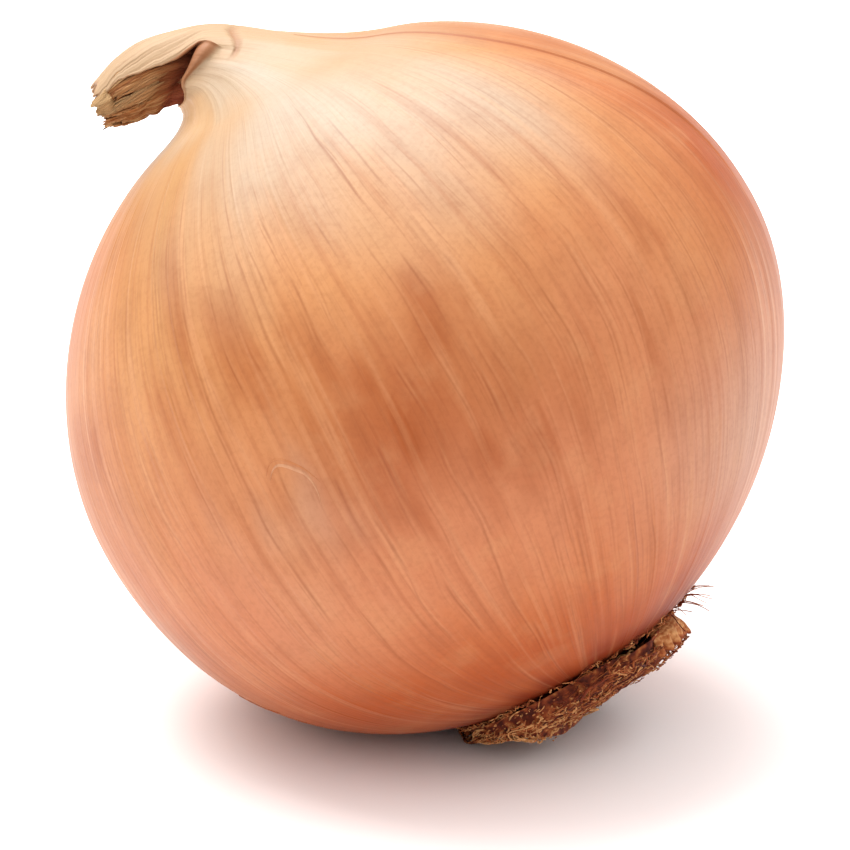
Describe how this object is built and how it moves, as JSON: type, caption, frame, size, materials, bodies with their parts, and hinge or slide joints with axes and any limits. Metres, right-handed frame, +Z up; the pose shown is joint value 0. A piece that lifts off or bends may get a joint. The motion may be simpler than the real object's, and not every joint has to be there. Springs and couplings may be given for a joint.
{
  "type": "onion",
  "caption": "Whole dry yellow onion with a round bulb, a short neck bent over at the top and a mat of short dry roots, lying on a small flat spot.",
  "frame": {"origin": "middle of the small flat spot that the onion rests on, at the height of the surface it lies on", "axes": "+Z up; the onion's own axis lies in the XZ plane and leans towards -X, so the neck is up at -X and the roots are down at +X"},
  "size_m": [0.078, 0.0798, 0.0769],
  "materials": {
    "skin": "satin",
    "dry_neck": "matte",
    "dry_roots": "matte"
  },
  "bodies": {
    "root": {"bulb": "skin", "neck": "dry_neck", "root_tuft": "dry_roots"}
  },
  "joints": []
}
